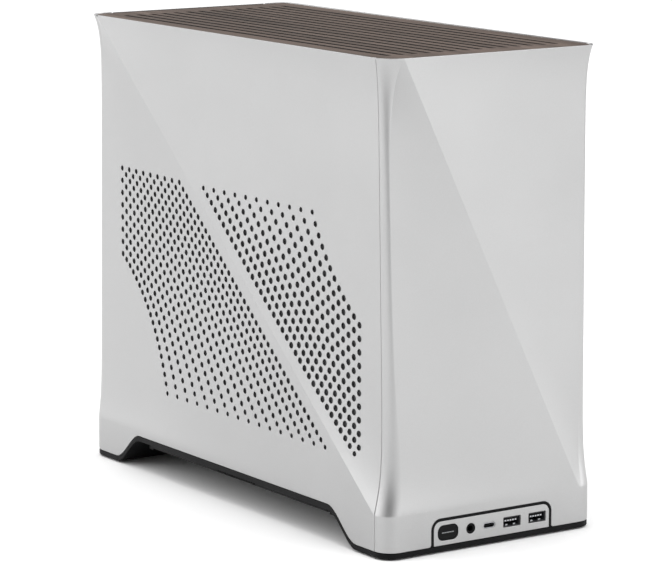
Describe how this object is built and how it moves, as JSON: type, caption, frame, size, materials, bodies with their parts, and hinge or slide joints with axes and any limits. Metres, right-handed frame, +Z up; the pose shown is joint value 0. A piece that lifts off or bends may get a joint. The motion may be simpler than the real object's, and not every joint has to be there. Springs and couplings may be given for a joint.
{
  "type": "small desktop computer",
  "caption": "Small upright desktop computer: pressed aluminium case with diagonal creases and perforated sides, slatted walnut lid, black base with a floor arch, front ports.",
  "frame": {"origin": "on the floor under the middle of the case", "axes": "+Z up, ports face -Y, depth of the case along Y"},
  "size_m": [0.166, 0.366, 0.315],
  "materials": {
    "anodised_aluminium": "bead-blasted satin anodising",
    "walnut": "oiled walnut, open grain",
    "black_plastic": "fine moulded texture",
    "rubber_pad": "matte rubber",
    "coated_steel": "fine black powder coat",
    "bare_steel": "plated sheet steel",
    "heatsink_aluminium": "extruded fins",
    "fan_plastic": "glass-filled plastic",
    "circuit_board": "solder resist over laminate",
    "filter_nylon": "woven nylon mesh",
    "light_guide": "clear diffusing plastic"
  },
  "bodies": {
    "chassis": {"front_panel": "anodised_aluminium", "io_plate": "anodised_aluminium", "base_tray": "black_plastic", "io_trim": "black_plastic", "power_switch": "black_plastic", "mains_inlet": "black_plastic", "audio_jack": "black_plastic", "foot_pad_front_left": "rubber_pad", "foot_pad_front_right": "rubber_pad", "foot_pad_rear_left": "rubber_pad", "foot_pad_rear_right": "rubber_pad", "inlet_lead": "rubber_pad", "rear_panel": "coated_steel", "top_frame": "coated_steel", "chassis_floor": "coated_steel", "chassis_spine": "coated_steel", "front_bracket": "coated_steel", "psu_case": "coated_steel", "slot_cover": "coated_steel", "graphics_backplate": "coated_steel", "usb_a_port_left": "bare_steel", "usb_a_port_right": "bare_steel", "usb_c_port": "bare_steel", "io_shield": "bare_steel", "rear_ports": "bare_steel", "graphics_bracket": "bare_steel", "processor": "bare_steel", "psu_fan_guard": "bare_steel", "cooler_heatsink": "heatsink_aluminium", "regulator_heatsink": "heatsink_aluminium", "graphics_heatsink": "heatsink_aluminium", "bottom_fan_front_frame": "fan_plastic", "bottom_fan_rear_frame": "fan_plastic", "top_fan_front_frame": "fan_plastic", "top_fan_rear_frame": "fan_plastic", "cooler_fan_frame": "fan_plastic", "graphics_shroud": "fan_plastic", "front_io_board": "circuit_board", "motherboard": "circuit_board", "graphics_board": "circuit_board", "memory_module_1": "circuit_board", "memory_module_2": "circuit_board", "solid_state_drive": "circuit_board", "riser_slot": "circuit_board", "riser_cable": "circuit_board"},
    "power_button": {"power_button": "black_plastic", "button_light_guide": "light_guide"},
    "top_grille": {"top_grille": "walnut"},
    "side_panel_left": {"side_panel_left": "anodised_aluminium"},
    "side_panel_right": {"side_panel_right": "anodised_aluminium"},
    "dust_filter": {"filter_frame": "black_plastic", "filter_mesh": "filter_nylon"},
    "bottom_fan_front": {"bottom_fan_front_rotor": "fan_plastic"},
    "bottom_fan_rear": {"bottom_fan_rear_rotor": "fan_plastic"},
    "top_fan_front": {"top_fan_front_rotor": "fan_plastic"},
    "top_fan_rear": {"top_fan_rear_rotor": "fan_plastic"},
    "cooler_fan": {"cooler_fan_rotor": "fan_plastic"},
    "psu_fan": {"psu_fan_rotor": "fan_plastic"},
    "graphics_fan_1": {"graphics_fan_1": "fan_plastic"},
    "graphics_fan_2": {"graphics_fan_2": "fan_plastic"}
  },
  "joints": [
    {"name": "power_button_press", "type": "slide", "parent": "chassis", "child": "power_button", "axis": [0, 1, 0], "range_m": [0, 0.001], "stiffness_N_per_m": 800},
    {"name": "top_grille_lift", "type": "slide", "parent": "chassis", "child": "top_grille", "axis": [0, 0, 1], "range_m": [0, 0.04]},
    {"name": "side_panel_left_pull", "type": "slide", "parent": "chassis", "child": "side_panel_left", "axis": [-1, 0, 0], "range_m": [0, 0.06]},
    {"name": "side_panel_right_pull", "type": "slide", "parent": "chassis", "child": "side_panel_right", "axis": [1, 0, 0], "range_m": [0, 0.06]},
    {"name": "dust_filter_slide", "type": "slide", "parent": "chassis", "child": "dust_filter", "axis": [-1, 0, 0], "range_m": [0, 0.17]},
    {"name": "bottom_fan_front_spin", "type": "hinge", "parent": "chassis", "child": "bottom_fan_front", "pos_m": [0, -0.062, 0.038], "axis": [0, 0, 1], "continuous": true},
    {"name": "bottom_fan_rear_spin", "type": "hinge", "parent": "chassis", "child": "bottom_fan_rear", "pos_m": [0, 0.062, 0.038], "axis": [0, 0, 1], "continuous": true},
    {"name": "top_fan_front_spin", "type": "hinge", "parent": "chassis", "child": "top_fan_front", "pos_m": [0, -0.062, 0.288], "axis": [0, 0, 1], "continuous": true},
    {"name": "top_fan_rear_spin", "type": "hinge", "parent": "chassis", "child": "top_fan_rear", "pos_m": [0, 0.062, 0.288], "axis": [0, 0, 1], "continuous": true},
    {"name": "cooler_fan_spin", "type": "hinge", "parent": "chassis", "child": "cooler_fan", "pos_m": [-0.058, 0.098, 0.186], "axis": [1, 0, 0], "continuous": true},
    {"name": "psu_fan_spin", "type": "hinge", "parent": "chassis", "child": "psu_fan", "pos_m": [-0.066, -0.115, 0.2025], "axis": [1, 0, 0], "continuous": true},
    {"name": "graphics_fan_1_spin", "type": "hinge", "parent": "chassis", "child": "graphics_fan_1", "pos_m": [0.041, -0.025, 0.167], "axis": [1, 0, 0], "continuous": true},
    {"name": "graphics_fan_2_spin", "type": "hinge", "parent": "chassis", "child": "graphics_fan_2", "pos_m": [0.041, 0.1, 0.167], "axis": [1, 0, 0], "continuous": true}
  ]
}
